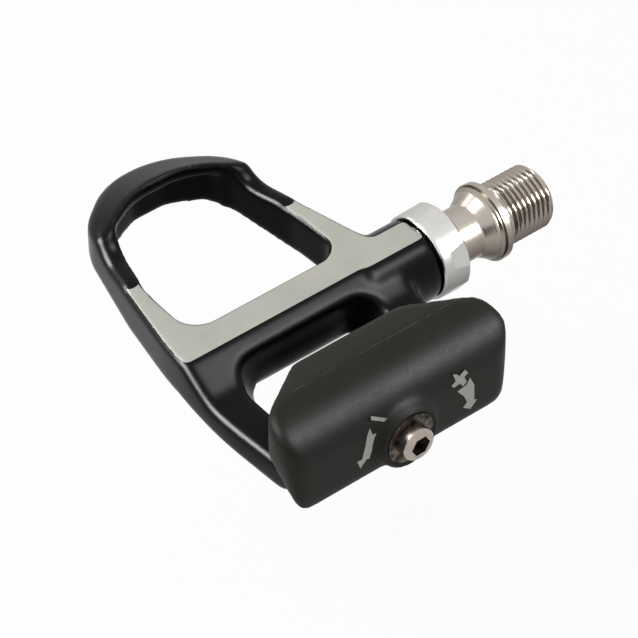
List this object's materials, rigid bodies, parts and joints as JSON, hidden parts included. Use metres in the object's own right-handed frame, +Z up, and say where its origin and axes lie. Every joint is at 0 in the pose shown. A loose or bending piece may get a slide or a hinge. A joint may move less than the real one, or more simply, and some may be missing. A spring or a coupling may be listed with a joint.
{
  "type": "clipless road pedal",
  "caption": "Left road-bicycle pedal: cast body with toe hook and machined cleat platform, sprung rear jaw with tension bolt, and an axle that screws into the crank.",
  "frame": {"origin": "on the axle's axis, at the flange face that seats on the crank", "axes": "+X along the axle towards the crank, +Y towards the toe, +Z up out of the cleat platform"},
  "size_m": [0.096, 0.0938, 0.0249],
  "materials": {
    "body_paint": "satin black paint on an aluminium casting, cleat platform machined bare",
    "jaw_plastic": "fine textured moulded plastic",
    "axle_steel": "turned and nickel plated",
    "nut_aluminium": "bright turned",
    "bright_steel": "zinc plated",
    "plain_steel": "plain",
    "spring_steel": "oil blackened",
    "bearing_steel": "ground",
    "cage_plastic": "moulded",
    "seal_rubber": "lip seal"
  },
  "bodies": {
    "axle": {"axle": "axle_steel", "bearing_inner_race": "bearing_steel", "axle_circlip": "spring_steel"},
    "pedal_body": {"pedal_body": "body_paint", "lock_nut": "nut_aluminium", "axle_seal": "seal_rubber", "bearing_outer_race": "bearing_steel", "ball_cage": "cage_plastic", "ball_1": "bearing_steel", "ball_2": "bearing_steel", "ball_3": "bearing_steel", "ball_4": "bearing_steel", "ball_5": "bearing_steel", "ball_6": "bearing_steel", "ball_7": "bearing_steel", "ball_8": "bearing_steel", "ball_9": "bearing_steel", "needle_cup": "bearing_steel", "needle_cage": "cage_plastic", "needle_1": "bearing_steel", "needle_2": "bearing_steel", "needle_3": "bearing_steel", "needle_4": "bearing_steel", "needle_5": "bearing_steel", "needle_6": "bearing_steel", "needle_7": "bearing_steel", "needle_8": "bearing_steel", "needle_9": "bearing_steel", "needle_10": "bearing_steel", "hinge_pin": "plain_steel", "spring_left": "spring_steel", "spring_right": "spring_steel"},
    "clip": {"clip_jaw": "jaw_plastic", "bolt_washer": "bright_steel"},
    "adjuster": {"adjusting_bolt": "bright_steel"},
    "tension": {"tension_plate": "plain_steel"}
  },
  "joints": [
    {"name": "pedal_spin", "type": "hinge", "parent": "axle", "child": "pedal_body", "pos_m": [-0.0548, 0, 0], "axis": [1, 0, 0], "continuous": true},
    {"name": "clip_pivot", "type": "hinge", "parent": "pedal_body", "child": "clip", "pos_m": [-0.0548, -0.0295, -0.0034], "axis": [1, 0, 0], "range_deg": [0, 20], "stiffness_Nm_per_rad": 2, "springref_deg": -28.65, "deforming": ["spring_left", "spring_right"]},
    {"name": "bolt_turn", "type": "hinge", "parent": "clip", "child": "adjuster", "pos_m": [-0.0548, -0.0384, 0.00045], "axis": [0, 1, 0], "range_deg": [-540, 0]},
    {"name": "plate_slide", "type": "slide", "parent": "clip", "child": "tension", "axis": [0, 1, 0], "range_m": [0, 0.00121]}
  ],
  "couplings": [
    {"joint": "plate_slide", "follows": "bolt_turn", "m_per_rad": -0.00012732}
  ]
}
